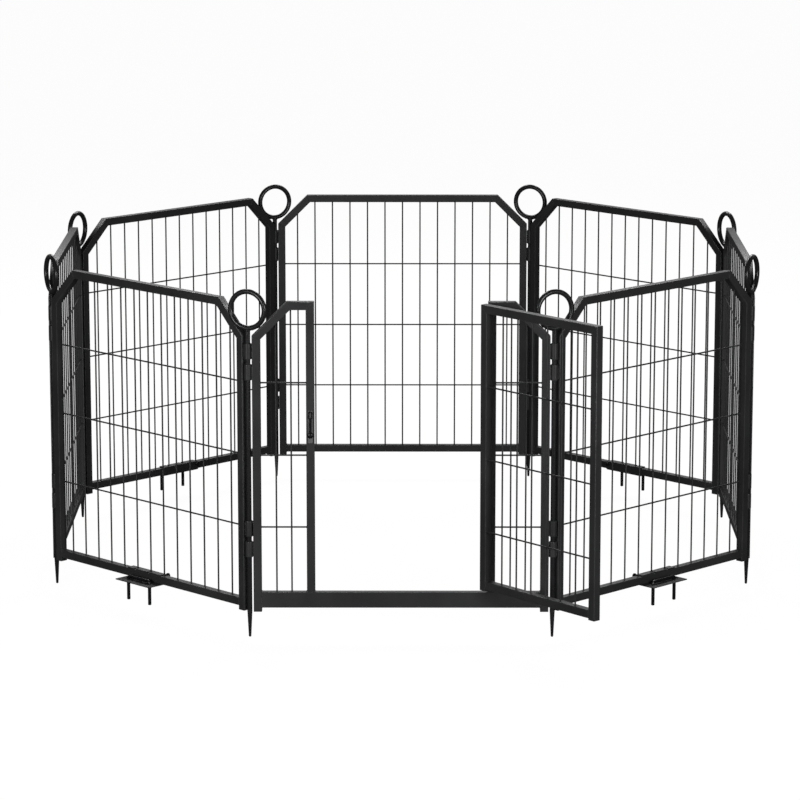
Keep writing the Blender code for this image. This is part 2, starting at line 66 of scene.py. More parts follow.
# Hinge sleeves on the posts
SLEEVE_RADIUS = 0.0075
SLEEVE_BORE = 0.0057
SLEEVE_LENGTH = 0.0307
SLEEVE_PITCH = 0.041
SLEEVE_TAB = 0.005
SLEEVE_EASE = 0.0005
SLEEVE_LET_IN = 0.0005
SLEEVE_NOTCH = 0.0006
SLEEVE_GROUP_HEIGHTS = (0.1442, 0.4934)

# Ground stakes
STAKE_RADIUS = 0.0050
STAKE_TIP_RADIUS = 0.0025
STAKE_TAPER = 0.052
STAKE_DEPTH = 0.052
STAKE_EASE = 0.0003
STAKE_SHOULDER = 0.004
STAKE_NECK = 0.012
RING_RADIUS = 0.0355
RING_HEIGHT = 0.5945
RING_SIDES = 16
RING_STEPS = 72
RING_SEAM_HALF = 0.0007
RING_SEAM_EDGE = 0.0002
RING_SEAM_CREST = 0.0005
RING_SEAM_LEAN = radians(16)
COLLAR_STEPS = 30
COLLAR_SINK = 0.0002
COLLAR_STAND = 0.0001
COLLAR_RISE = 0.0012

# Door panel
DOORWAY_HALF = 0.1665
SILL_HEIGHT = 0.031
FIXED_COLUMNS = 2

# Door leaf, described closed, in the door panel's frame
LEAF_LEFT = -0.1559
LEAF_RIGHT = 0.1594
LEAF_BOTTOM = 0.0514
LEAF_TOP = 0.6093
LEAF_FOOT = 0.0030
LEAF_COLUMNS = 6
LEAF_OPEN_ANGLE = 131.7
LEAF_AXIS = (0.16295, -0.0100)

# Door hinge barrels and pins
BARREL_RADIUS = 0.0037
BARREL_BORE = 0.0024
BARREL_LENGTH = 0.024
BARREL_TAB = 0.0024
BARREL_REACH = 0.0065
BARREL_EASE = 0.0003
BARREL_HEIGHTS = (0.105, 0.470)
BARREL_LEAN = radians(30)
PIN_RADIUS = 0.0020
PIN_HEAD_RADIUS = 0.0034
PIN_HEAD = 0.003
PIN_EASE = 0.0005

# Door latch
LATCH_PIVOT_HEIGHT = 0.3512
LATCH_PLATE_WIDTH = 0.010
LATCH_PLATE_BOTTOM = 0.3354
LATCH_PLATE_TOP = 0.3990
LATCH_PLATE_THICK = 0.0015
LATCH_PLATE_CORNER = 0.0020
LATCH_BAR_THICK = 0.003
LATCH_BAR_WIDTH = 0.004
LATCH_EYE_RADIUS = 0.0058
LATCH_LOOP_HEIGHT = 0.0160
LATCH_LOOP_WIDTH = 0.0080
LATCH_LOOP_TOP = 0.3984
LATCH_EASE = 0.0004
RIVET_RADIUS = 0.0024
RIVET_HEAD_RADIUS = 0.0050
RIVET_HEAD = 0.0022

# Ground anchors, clamped on the bottom rails of the four slanting panels
BRACKET_LENGTH = 0.102
BRACKET_SHIFT = 0.010
BRACKET_THICK = 0.002
BRACKET_LIP = -0.0070
BRACKET_SLOT = 0.0025
BRACKET_REACH = 0.040
BRACKET_BEND = 0.0022
BRACKET_EASE = 0.0004
SLOT_CORNER = 0.0012
STAPLE_RADIUS = 0.0034
STAPLE_SPREAD = 0.064
STAPLE_OUT = 0.022
STAPLE_BOTTOM = -0.035
STAPLE_BEND = 0.005
STAPLE_HOLE = 0.0040
STAPLE_SIDES = 20
STAPLE_EASE = 0.0008
STAPLE_TIP_SHARE = 0.72
SCREW_INSET = 0.0065
SCREW_HEIGHT = 0.0210
SCREW_RADIUS = 0.0022
SCREW_HEAD_RADIUS = 0.0050
SCREW_HEAD = 0.0045
SCREW_STAND = 0.004
SCREW_THREAD = 0.0008
SCREW_THREAD_START = 0.0003
SCREW_ROOT_SHARE = 0.88
SCREW_SIDES = 20
SCREW_BITE = 0.0005
SCREW_RIM = 0.0007
SCREW_DISH = 0.0006
SCREW_KNURLS = 18
SCREW_KNURL_DEPTH = 0.03
ANCHOR_SCREW_SIDES = {1: -1, 3: 1, 5: -1, 7: 1}

# Weld metal
BEAD_RADIUS = 0.0013
BEAD_RIPPLE = 0.0016
BEAD_SIDES = 8
BEAD_SUNK = 0.55
SEAM_RADIUS = 0.0009
SEAM_SUNK = 0.65
SEAM_STAND = 0.0008
SEAM_INSET = 0.002
SILL_BEAD_INSET = 0.0007
TAB_INSET = 0.001
TAB_EASE = 0.0003

# How finely shapes are drawn
ROUND = 28
CORNER_STEPS = 3
SHARP_ANGLE = radians(50)
EASE_ANGLE = radians(40)
MERGE_DISTANCE = 0.00001
POINT_SHARE = 0.7

# Powder coat
SPECULAR_LEVEL = 0.25
BLACK = (0.023, 0.023, 0.024)
STAKE_BLACK = (0.011, 0.011, 0.012)
HARDWARE_BLACK = (0.005, 0.005, 0.006)
PLATE_BLACK = (0.085, 0.085, 0.087)
PATCH_SCALE = 9
GRAIN_SCALE = 650
FINE_SCALE = 2400
RUB_SCALE = 60

# Camera
CAMERA_PLACE = (0.0158, -7.3365, 1.8441)
CAMERA_PITCH = 0.20082
CAMERA_YAW = 0.00264
CAMERA_LENS = 161.2
SENSOR_WIDTH = 36

# Studio: floor, dome, sky band and lights
FLOOR_HALF = 60.0
FLOOR_GLOW = 0.97
FLOOR_ALBEDO = 0.05
FLOOR_CLEARANCE = 0.0005
BACKDROP_SHARE = 0.95
SKY = 0.06
BAND = 0.7
BAND_FOOT = (0.09, 0.22)
BAND_HEAD = (0.45, 0.65)
BAND_SIDE = (0.4, 0.85)
SOFTBOX_SIZE = 1.0
SIDE_SOFTBOX = (1.8, -3.2, 0.9)
SIDE_AIM = (0, -0.3, 0.3)
SIDE_POWER = 65
BACK_SOFTBOX = (0.9, 2.7, 3.0)
BACK_AIM = (0, 0.3, 0.3)
BACK_POWER = 45

PANEL_NAMES = (
    "door_panel",
    "front_right_panel",
    "right_panel",
    "back_right_panel",
    "back_panel",
    "back_left_panel",
    "left_panel",
    "front_left_panel",
)
# Stake k stands at the left end of panel k.
STAKE_NAMES = (
    "front_left_stake",
    "front_right_stake",
    "right_front_stake",
    "right_back_stake",
    "back_right_stake",
    "back_left_stake",
    "left_back_stake",
    "left_front_stake",
)

# Sizes that follow from the ones above
SIDE = PANEL_WIDTH + 2 * HINGE_GAP
HALF_WIDTH = PANEL_WIDTH / 2
WINDOW_HALF = HALF_WIDTH - TUBE
WINDOW_BOTTOM = FOOT + TUBE
WINDOW_TOP = PANEL_HEIGHT - TUBE
MITRE = TUBE * tan(pi / 8)
SILL_TOP = FOOT + SILL_HEIGHT
INNER_POST = DOORWAY_HALF + TUBE
FACE = TUBE / 2
LATCH_X = -(DOORWAY_HALF + TUBE / 2)

chance = random.Random(8)


# ------------------------------------------------------------------------ shells
# A shell is (points, faces, wear). Wear is 1 at points on an edge that gets rubbed, and 0
# elsewhere.


def skin(rings, wear, joined=False):
    """A shell over a row of rings, capped at both ends or joined end to end."""
    count = len(rings[0])
    points = [point for ring in rings for point in ring]
    faces = []
    for row in range(len(rings) if joined else len(rings) - 1):
        here = row * count
        there = (row + 1) % len(rings) * count
        for i in range(count):
            j = (i + 1) % count
            faces.append((here + i, here + j, there + j, there + i))
    if not joined:
        faces.append(tuple(range(count)))
        faces.append(tuple(range(len(points) - count, len(points))))
    return points, faces, [value for row in wear for value in row]


def moved(shell, turn):
    points, faces, wear = shell
    return [turn @ Vector(point) for point in points], faces, wear


def together(shells):
    """Several shells as one, each still closed in itself."""
    points, faces, wear = [], [], []
    for more_points, more_faces, more_wear in shells:
        start = len(points)
        points += more_points
        faces += [tuple(start + i for i in face) for face in more_faces]
        wear += more_wear
    return points, faces, wear


def rounded_section(width, height, radius):
    """A rounded rectangle as (u, v, wear) points, with a point on the flat beside each corner."""
    corners = ((1, 1), (-1, 1), (-1, -1), (1, -1))
    aside = radius / 2
    loop = []
    for number, (side_u, side_v) in enumerate(corners):
        u = side_u * (width / 2 - radius)
        v = side_v * (height / 2 - radius)
        start = number * pi / 2
        end = start + pi / 2
        first_u = u + radius * cos(start) + aside * sin(start)
        first_v = v + radius * sin(start) - aside * cos(start)
        loop.append((first_u, first_v, 0))
        for i in range(CORNER_STEPS + 1):
            angle = start + pi / 2 * i / CORNER_STEPS
            loop.append((u + radius * cos(angle), v + radius * sin(angle), 1))
        last_u = u + radius * cos(end) - aside * sin(end)
        last_v = v + radius * sin(end) + aside * cos(end)
        loop.append((last_u, last_v, 0))
    return loop


def round_section(radius, sides):
    angles = [2 * pi * i / sides for i in range(sides)]
    return [(radius * cos(angle), radius * sin(angle), 0) for angle in angles]


def mitred_rings(path, section):
    """Rings of a section swept along (x, z) points in the plane y = 0, mitred at the corners."""
    steps = [(after - before).normalized() for before, after in zip(path, path[1:])]
    rings = []
    for i, point in enumerate(path):
        before = steps[max(i - 1, 0)]
        along = (before + steps[min(i, len(steps) - 1)]).normalized()
        stretch = 1 / along.dot(before)
        ring = []
        for u, v, _ in section:
            ring.append((point.x - along.y * u * stretch, v, point.y + along.x * u * stretch))
        rings.append(ring)
    return rings


def swept(path, section):
    wear = [[point[2] for point in section]] * len(path)
    return skin(mitred_rings(path, section), wear)


def turned(profile, sides=ROUND, joined=False, scallops=0, depth=0.0):
    """A shell of revolution about z, from (radius, z, wear) points."""
    rings = []
    for radius, z, _ in profile:
        ring = []
        for i in range(sides):
            angle = 2 * pi * i / sides
            reach = radius * (1 + depth * cos(scallops * angle))
            ring.append((reach * cos(angle), reach * sin(angle), z))
        rings.append(ring)
    return skin(rings, [[wear] * sides for _, _, wear in profile], joined)


def eased_tube(radius, bore, length, ease):
    """A short pipe standing on z = 0, with its edges eased."""
    profile = []
    for z, inward in ((0, 1), (length, -1)):
        rim = [
            (bore, z + inward * 3 * ease, 0),
            (bore, z + inward * ease, 1),
            (bore + ease, z, 1),
            (radius - ease, z, 1),
            (radius, z + inward * ease, 1),
            (radius, z + inward * 3 * ease, 0),
        ]
        profile += rim if inward > 0 else rim[::-1]
    return turned(profile, joined=True)


def block(low, high, ease):
    """A bar along z with eased edges, between two corners."""
    low, high = Vector(low), Vector(high)
    size, middle = high - low, (low + high) / 2
    rings, wear = [], []
    for z, inset in ((low.z, ease), (low.z + ease, 0), (high.z - ease, 0), (high.z, ease)):
        section = rounded_section(size.x - 2 * inset, size.y - 2 * inset, ease)
        rings.append([(middle.x + u, middle.y + v, z) for u, v, _ in section])
        wear.append([point[2] for point in section])
    return skin(rings, wear)


def beam(start, end, radii, sides):
    """A round bar between two points, with a ring for each of its evenly spaced radii."""
    start, end = Vector(start), Vector(end)
    along = (end - start).normalized()
    aside = along.orthogonal().normalized()
    up = along.cross(aside)
    rings = []
    for i, radius in enumerate(radii):
        place = start.lerp(end, i / (len(radii) - 1))
        angles = [2 * pi * j / sides for j in range(sides)]
        rings.append([place + (aside * cos(angle) + up * sin(angle)) * radius for angle in angles])
    return skin(rings, [[0] * sides] * len(rings))


def weld_bead(start, end, radius=BEAD_RADIUS):
    """A rippled run of weld metal between two points, drawn in at its ends."""
    length = (Vector(end) - Vector(start)).length
    ripples = max(2, round(length / BEAD_RIPPLE))
    radii = []
    for i in range(3 * ripples + 1):
        swell = (0.86, 1.08, 1.0)[i % 3] + chance.uniform(-0.04, 0.04)
        radii.append(radius * swell)
    radii[0] *= 0.5
    radii[-1] *= 0.5
    return beam(start, end, radii, BEAD_SIDES)


def nugget(place, width=NUGGET, depth=NUGGET):
    """A spot weld: a small flattened bulb of squeezed metal, with its short axis along y."""
    profile = []
    steps = 5
    for i in range(steps + 1):
        angle = pi * (0.06 + 0.88 * i / steps)
        profile.append((width * sin(angle) * chance.uniform(0.94, 1.06), depth * cos(angle), 0))
    spin = Matrix.Rotation(chance.uniform(0, pi), 4, "Z")
    turn = Matrix.Translation(place) @ Matrix.Rotation(pi / 2, 4, "X") @ spin
    return moved(turned(profile, 9), turn)


def rounded_path(corners, radius, steps=6):
    """The line through some (x, z) corners, with each turn rounded."""
    path = [corners[0]]
    for before, corner, after in zip(corners, corners[1:], corners[2:]):
        back = (before - corner).normalized()
        ahead = (after - corner).normalized()
        half = back.angle(ahead) / 2
        middle = corner + (back + ahead).normalized() * radius / sin(half)
        start = corner + back * radius / tan(half) - middle
        end = corner + ahead * radius / tan(half) - middle
        first = atan2(start.y, start.x)
        turn = (atan2(end.y, end.x) - first + pi) % (2 * pi) - pi
        angles = [first + turn * i / steps for i in range(steps + 1)]
        path += [middle + radius * Vector((cos(angle), sin(angle))) for angle in angles]
    return path + [corners[-1]]


# ------------------------------------------------------------------------ meshes


def mesh_from(shell, name):
    """A mesh with outward faces and the wear kept as a point attribute."""
    points, faces, wear = shell
    mesh = bpy.data.meshes.new(name)
    mesh.from_pydata([tuple(point) for point in points], [], faces)
    attribute = mesh.attributes.new("wear", "FLOAT", "POINT")
    attribute.data.foreach_set("value", [float(value) for value in wear])
    return outward(mesh)


def outward(mesh):
    shape = bmesh.new()
    shape.from_mesh(mesh)
    bmesh.ops.recalc_face_normals(shape, faces=shape.faces)
    shape.to_mesh(mesh)
    shape.free()
    mesh.shade_smooth()
    mesh.set_sharp_from_angle(angle=SHARP_ANGLE)
    return mesh


def evaluated(item):
    """The object's final mesh; the object itself is removed."""
    bpy.context.view_layer.update()
    graph = bpy.context.evaluated_depsgraph_get()
    mesh = bpy.data.meshes.new_from_object(item.evaluated_get(graph))
    bpy.data.objects.remove(item)
    return mesh


def helper(data):
    item = bpy.data.objects.new("helper", data)
    bpy.context.scene.collection.objects.link(item)
    return item


def cut(mesh, tools):
    """The mesh with a closed shell of tools taken out of it."""
    base = helper(mesh)
    tool = helper(mesh_from(tools, "tools"))
    modifier = base.modifiers.new("cut", "BOOLEAN")
    modifier.operation = "DIFFERENCE"
    modifier.solver = "EXACT"
    modifier.object = tool
    result = evaluated(base)
    bpy.data.objects.remove(tool)
    return outward(result)


def eased(mesh, ease):
    """The mesh with its sharp edges rounded."""
    item = helper(mesh)
    modifier = item.modifiers.new("ease", "BEVEL")
    modifier.width = ease
    modifier.segments = 2
    modifier.limit_method = "ANGLE"
    modifier.angle_limit = EASE_ANGLE
    return outward(evaluated(item))


def flat_plate(loops, thickness):
    """Outlines of (x, z) points, the later ones holes, as a plate centred on y = 0."""
    curve = bpy.data.curves.new("outline", "CURVE")
    curve.dimensions = "2D"
    curve.fill_mode = "BOTH"
    curve.extrude = thickness / 2
    for loop in loops:
        spline = curve.splines.new("POLY")
        spline.points.add(len(loop) - 1)
        for point, (x, z) in zip(spline.points, loop):
            point.co = (x, z, 0, 1)
        spline.use_cyclic_u = True
    mesh = evaluated(helper(curve))
    mesh.transform(Matrix.Rotation(pi / 2, 4, "X"))
    shape = bmesh.new()
    shape.from_mesh(mesh)
    bmesh.ops.remove_doubles(shape, verts=shape.verts, dist=MERGE_DISTANCE)
    shape.to_mesh(mesh)
    shape.free()
    return outward(mesh)


# ------------------------------------------------------------------ panel frames


def tube_with_feet(path, open_end):
    """A square tube along a path, with an open foot at its start and, if asked, at its end."""
    outer = rounded_section(TUBE, TUBE, TUBE_CORNER)
    inner = rounded_section(TUBE - 2 * TUBE_WALL, TUBE - 2 * TUBE_WALL, TUBE_CORNER / 2)
    rings = mitred_rings(path, outer)
    wear = [[point[2] for point in outer]] * len(rings)
    foot = [path[0] + (path[1] - path[0]).normalized() * FOOT, path[0]]
    rings = mitred_rings(foot[::-1], inner)[::-1] + rings
    wear = [[0] * len(inner)] * 2 + wear
    if open_end:
        foot = [path[-1], path[-1] + (path[-2] - path[-1]).normalized() * FOOT]
        back = mitred_rings([foot[1], foot[0]], inner)
        rings += [back[1], back[0]]
        wear += [[0] * len(inner)] * 2
    return skin(rings, wear)


def chamfered_centre_line():
    """The tube's centre line up a panel's left post and over the chamfer to the top rail."""
    post = -HALF_WIDTH + TUBE / 2
    return [
        Vector((post, 0)),
        Vector((post, PANEL_HEIGHT - CHAMFER - MITRE / 2)),
        Vector((-HALF_WIDTH + CHAMFER + MITRE / 2, PANEL_HEIGHT - TUBE / 2)),
    ]


def mirrored_path(path):
    return [Vector((-point.x, point.y)) for point in reversed(path)]


def mitre_seams(path):
    """Dressed weld seams across the front and back faces at each turn of a tube."""
    seams = []
    for before, corner, after in zip(path, path[1:], path[2:]):
        across = ((before - corner).normalized() + (after - corner).normalized()).normalized()
        half = (before - corner).angle(after - corner) / 2
        reach = across * (TUBE / 2 - TUBE_CORNER) / sin(half)
        low, high = corner - reach, corner + reach
        for side in (-1, 1):
            y = side * (FACE - SEAM_RADIUS * SEAM_SUNK)
            seams.append(weld_bead((low.x, y, low.y), (high.x, y, high.y), SEAM_RADIUS))
    return seams


def rail(left, right, bottom, height):
    """A level tube between two posts, let into them a little, with weld beads round its ends."""
    section = rounded_section(height, TUBE, TUBE_CORNER)
    middle = bottom + height / 2
    path = [Vector((left - RAIL_LET_IN, middle)), Vector((right + RAIL_LET_IN, middle))]
    shells = [swept(path, section)]
    low = bottom + TUBE_CORNER
    high = bottom + height - TUBE_CORNER
    for x in (left, right):
        for side in (-1, 1):
            y = side * (FACE - BEAD_RADIUS * BEAD_SUNK)
            shells.append(weld_bead((x, y, low), (x, y, high)))
        for z in (bottom, bottom + height):
            shells.append(weld_bead((x, -FACE + TUBE_CORNER, z), (x, FACE - TUBE_CORNER, z)))
    return shells


def stood(shell, x, y, z):
    return moved(shell, Matrix.Translation((x, y, z)))


def hinge_sleeve(side, bottom):
    """A pipe welded to a post's outer face, with a bead on each side of its tab."""
    axis = side * SIDE / 2
    inward = -side
    near = axis + inward * (SLEEVE_BORE + SLEEVE_RADIUS) / 2
    far = axis + inward * (HINGE_GAP + SLEEVE_LET_IN)
    low, high = sorted((near, far))
    top = bottom + SLEEVE_LENGTH
    half = SLEEVE_TAB / 2
    tube = eased_tube(SLEEVE_RADIUS, SLEEVE_BORE, SLEEVE_LENGTH, SLEEVE_EASE)
    tab = block((low, -half, bottom + TAB_INSET), (high, half, top - TAB_INSET), TAB_EASE)
    shells = [stood(tube, axis, 0, bottom), tab]
    notch = axis + inward * (HINGE_GAP - SLEEVE_NOTCH)
    for sign in (-1, 1):
        y = sign * (half + SEAM_STAND)
        shells.append(weld_bead((notch, y, bottom + SEAM_INSET), (notch, y, top - SEAM_INSET)))
    return shells


def hinge_sleeves():
    """Two sleeves at each end of a panel. Those at the right end sit above their neighbour's."""
    shells = []
    for side in (-1, 1):
        for middle in SLEEVE_GROUP_HEIGHTS:
            shells += hinge_sleeve(side, middle + side * SLEEVE_PITCH / 2 - SLEEVE_LENGTH / 2)
    return shells


def plain_frame_mesh():
    left = chamfered_centre_line()
    path = left + mirrored_path(left)
    shells = [tube_with_feet(path, True)] + mitre_seams(path)
    shells += rail(-WINDOW_HALF, WINDOW_HALF, FOOT, TUBE) + hinge_sleeves()
    return mesh_from(together(shells), "plain_frame")


def hinge_barrels(leaf_side):
    """The two barrels of the door hinges on the leaf, or the two below them on the door panel."""
    direction = pi - BARREL_LEAN if leaf_side else BARREL_LEAN
    lift = BARREL_LENGTH + GAP if leaf_side else 0
    near = (BARREL_RADIUS + BARREL_BORE) / 2
    half = BARREL_TAB / 2
    seam = BARREL_REACH - SEAM_STAND
    shells = []
    for bottom in BARREL_HEIGHTS:
        parts = [eased_tube(BARREL_RADIUS, BARREL_BORE, BARREL_LENGTH, BARREL_EASE)]
        high = (BARREL_REACH, half, BARREL_LENGTH - TAB_INSET)
        parts.append(block((near, -half, TAB_INSET), high, TAB_EASE))
        for y in (-half, half):
            top = (seam, y, BARREL_LENGTH - SEAM_INSET)
            parts.append(weld_bead((seam, y, SEAM_INSET), top, SEAM_RADIUS))
        place = Matrix.Translation((*LEAF_AXIS, bottom + lift))
        turn = place @ Matrix.Rotation(direction, 4, "Z")
        shells += [moved(part, turn) for part in parts]
    return shells


def door_frame_mesh():
    """Fixed sections on both sides of a doorway that is open at the top and has a deep sill."""
    inner = DOORWAY_HALF + TUBE / 2
    left = chamfered_centre_line()
    left += [Vector((-inner, PANEL_HEIGHT - TUBE / 2)), Vector((-inner, SILL_TOP - RAIL_LET_IN))]
    right = [Vector((-point.x, point.y)) for point in left]
    shells = [tube_with_feet(left, False), tube_with_feet(right, False)]
    shells += mitre_seams(left) + mitre_seams(right)
    shells += rail(-WINDOW_HALF, WINDOW_HALF, FOOT, SILL_HEIGHT)
    depth = FACE - TUBE_CORNER
    for side in (-1, 1):
        for x in (side * DOORWAY_HALF, side * INNER_POST):
            shells.append(weld_bead((x, -depth, SILL_TOP), (x, depth, SILL_TOP)))
        low, high = sorted((side * (DOORWAY_HALF + TUBE_CORNER), side * (INNER_POST - TUBE_CORNER)))
        for y in (-FACE + SILL_BEAD_INSET, FACE - SILL_BEAD_INSET):
            shells.append(weld_bead((low, y, SILL_TOP), (high, y, SILL_TOP)))
    shells += hinge_sleeves() + hinge_barrels(False)
    return mesh_from(together(shells), "door_frame")


def leaf_frame_mesh():
    """The leaf's tube frame, closed, with its two hinge barrels."""
    left = LEAF_LEFT + TUBE / 2
    right = LEAF_RIGHT - TUBE / 2
    top = LEAF_TOP - TUBE / 2
    bottom = LEAF_BOTTOM - LEAF_FOOT
    corners = ((left, bottom), (left, top), (right, top), (right, bottom))
    path = [Vector(corner) for corner in corners]
    shells = [tube_with_feet(path, True)] + mitre_seams(path)
    shells += rail(LEAF_LEFT + TUBE, LEAF_RIGHT - TUBE, LEAF_BOTTOM, TUBE)
    shells += hinge_barrels(True)
    return mesh_from(together(shells), "leaf_frame")


# ------------------------------------------------------------------- wire meshes


def window_top(x):
    """Height of a panel's window at x, under the top rail or its chamfered corners."""
    return min(WINDOW_TOP, PANEL_HEIGHT - CHAMFER - MITRE + WINDOW_HALF - abs(x))


def wire(start, end):
    return beam(start, end, [WIRE / 2] * 2, WIRE_SIDES)


def wire_mesh(columns, left, right, bottom, top_at, name):
    """Upright wires, cross wires on their inner side, and spot welds where wires meet metal."""
    y = WIRE_INSET
    cross_y = y + WIRE - WIRE_BITE
    shells = []
    for x in columns:
        top = top_at(x)
        shells.append(wire((x, y, bottom - WIRE_LET_IN), (x, y, top + WIRE_LET_IN)))
        for z in (bottom, top):
            shells.append(nugget((x, y, z), NUGGET, NUGGET_DEPTH))
    for number in range(WIRE_ROWS):
        z = WINDOW_BOTTOM + (number + 1) * ROW_PITCH
        shells.append(wire((left - WIRE_LET_IN, cross_y, z), (right + WIRE_LET_IN, cross_y, z)))
        for x in (left, right):
            shells.append(nugget((x, cross_y, z), NUGGET, NUGGET_DEPTH))
        for x in columns:
            shells.append(nugget((x, (y + cross_y) / 2, z), CROSS_NUGGET, NUGGET_DEPTH))
    return mesh_from(together(shells), name)


def spread(count, low, high):
    """Places that divide the span from low to high evenly."""
    step = (high - low) / (count + 1)
    return [low + step * (i + 1) for i in range(count)]


def plain_columns():
    return [WIRE_PITCH * (i - (WIRE_COLUMNS - 1) / 2) for i in range(WIRE_COLUMNS)]


def plain_wire_mesh():
    half = WINDOW_HALF
    return wire_mesh(plain_columns(), -half, half, WINDOW_BOTTOM, window_top, "plain_wires")


def fixed_wire_mesh(side):
    low, high = sorted((side * WINDOW_HALF, side * INNER_POST))
    columns = spread(FIXED_COLUMNS, low, high)
    return wire_mesh(columns, low, high, SILL_TOP, window_top, "fixed_wires")


def leaf_wire_mesh():
    left = LEAF_LEFT + TUBE
    right = LEAF_RIGHT - TUBE
    bottom = LEAF_BOTTOM + TUBE
    columns = spread(LEAF_COLUMNS, left, right)
    return wire_mesh(columns, left, right, bottom, lambda x: LEAF_TOP - TUBE, "leaf_wires")


# ----------------------------------------------------------------------- stakes


def stake_mesh():
    """A rod with a blunt point and a ring welded on top, on the hinge line, from foot height."""
    top = RING_HEIGHT - RING_RADIUS
    taper_top = STAKE_TAPER - STAKE_DEPTH
    tip = STAKE_TIP_RADIUS
    profile = [
        (tip * 0.25, -STAKE_DEPTH, 1),
        (tip * 0.8, -STAKE_DEPTH + tip * 0.25, 1),
        (tip, -STAKE_DEPTH + tip * 0.7, 0),
        (STAKE_RADIUS - STAKE_EASE, taper_top - STAKE_SHOULDER, 0),
        (STAKE_RADIUS, taper_top, 1),
        (STAKE_RADIUS, taper_top + STAKE_SHOULDER, 0),
        (STAKE_RADIUS, top - STAKE_NECK, 0),
        (STAKE_RADIUS, top, 0),
    ]
    ring = [(RING_RADIUS + u, v, wear) for u, v, wear in round_section(STAKE_RADIUS, RING_SIDES)]
    upright = Matrix.Translation((0, 0, RING_HEIGHT)) @ Matrix.Rotation(pi / 2, 4, "X")
    shells = [turned(profile), moved(turned(ring, RING_STEPS, joined=True), upright)]
    collar = top - STAKE_RADIUS - COLLAR_SINK
    angles = [2 * pi * i / COLLAR_STEPS for i in range(COLLAR_STEPS)]
    shells.append(skin(*collar_rings(collar, angles), joined=True))
    shells.append(ring_seam())
    return mesh_from(together(shells), "stake")


def collar_rings(height, angles):
    """Rings of the weld bead round a stake's neck, where the rod meets the ring."""
    rings = []
    for number, angle in enumerate(angles):
        radius = BEAD_RADIUS * (0.9, 1.1, 1.0)[number % 3]
        out = Vector((cos(angle), sin(angle), 0))
        rise = COLLAR_RISE * abs(cos(angle))
        centre = out * (STAKE_RADIUS + COLLAR_STAND) + Vector((0, 0, height + rise))
        ring = []
        for i in range(BEAD_SIDES):
            turn = 2 * pi * i / BEAD_SIDES
            ring.append(centre + (out * cos(turn) + Vector((0, 0, sin(turn)))) * radius)
        rings.append(ring)
    return rings, [[0] * BEAD_SIDES] * len(rings)


def ring_seam():
    """The seam where the ring's bent rod closes on itself, above the neck."""
    edge = STAKE_RADIUS + RING_SEAM_EDGE
    crest = STAKE_RADIUS + RING_SEAM_CREST
    profile = [(edge, -RING_SEAM_HALF, 0), (crest, 0, 0), (edge, RING_SEAM_HALF, 0)]
    place = Matrix.Rotation(pi / 2, 4, "X") @ Matrix.Rotation(RING_SEAM_LEAN - pi / 2, 4, "Z")
    turn = place @ Matrix.Translation((RING_RADIUS, 0, 0)) @ Matrix.Rotation(pi / 2, 4, "X")
    return moved(turned(profile, 20), Matrix.Translation((0, 0, RING_HEIGHT)) @ turn)


# ------------------------------------------------------------------------ latch


def circle_points(radius, centre_z, sides=ROUND, clockwise=False):
    sign = -1 if clockwise else 1
    angles = [sign * 2 * pi * i / sides for i in range(sides)]
    return [(radius * cos(angle), centre_z + radius * sin(angle)) for angle in angles]


def latch_plate_mesh():
    """A thin backing plate with rounded corners and a hole for the rivet."""
    height = LATCH_PLATE_TOP - LATCH_PLATE_BOTTOM
    middle = (LATCH_PLATE_TOP + LATCH_PLATE_BOTTOM) / 2
    section = rounded_section(LATCH_PLATE_WIDTH, height, LATCH_PLATE_CORNER)
    outline = [(u, middle + v) for u, v, _ in section]
    hole = circle_points(RIVET_RADIUS + 2 * GAP, LATCH_PIVOT_HEIGHT, clockwise=True)
    mesh = eased(flat_plate([outline, hole], LATCH_PLATE_THICK), LATCH_EASE)
    mesh.transform(Matrix.Translation((LATCH_X, -FACE - GAP - LATCH_PLATE_THICK / 2, 0)))
    return mesh


def arc_points(radius, centre_z, start, end, steps=18):
    angles = [start + (end - start) * i / steps for i in range(steps + 1)]
    return [(radius * cos(angle), centre_z + radius * sin(angle)) for angle in angles]


def latch_bar_mesh():
    """A bar with an eye on the rivet and a finger loop at its free end, about the pivot."""
    half = LATCH_BAR_WIDTH / 2
    loop_radius = LATCH_LOOP_WIDTH / 2
    loop_top = LATCH_LOOP_TOP - LATCH_PIVOT_HEIGHT - loop_radius
    loop_bottom = loop_top - LATCH_LOOP_HEIGHT + LATCH_LOOP_WIDTH
    eye_turn = asin(half / LATCH_EYE_RADIUS)
    loop_turn = asin(half / loop_radius)
    outline = arc_points(LATCH_EYE_RADIUS, 0, pi / 2 + eye_turn, 5 * pi / 2 - eye_turn)
    outline += arc_points(loop_radius, loop_bottom, -pi / 2 + loop_turn, 0, 6)
    outline += arc_points(loop_radius, loop_top, 0, pi)
    outline += arc_points(loop_radius, loop_bottom, pi, 3 * pi / 2 - loop_turn, 6)
    bore = loop_radius / 2
    slot = arc_points(bore, loop_top, pi, 0) + arc_points(bore, loop_bottom, 0, -pi)
    eye = circle_points(RIVET_RADIUS + 2 * GAP, 0, clockwise=True)
    mesh = eased(flat_plate([outline, eye, slot], LATCH_BAR_THICK), LATCH_EASE)
    depth = -FACE - 2 * GAP - LATCH_PLATE_THICK - LATCH_BAR_THICK / 2
    mesh.transform(Matrix.Translation((LATCH_X, depth, LATCH_PIVOT_HEIGHT)))
    return mesh


def dome(radius, start, height, steps=6):
    """Profile points of a domed head, from its rim to its crown."""
    points = [(radius * 0.96, start, 1)]
    for i in range(steps + 1):
        angle = pi / 2 * i / steps * 0.97
        points.append((radius * cos(angle), start + height * (0.25 + 0.75 * sin(angle)), 0))
    return points


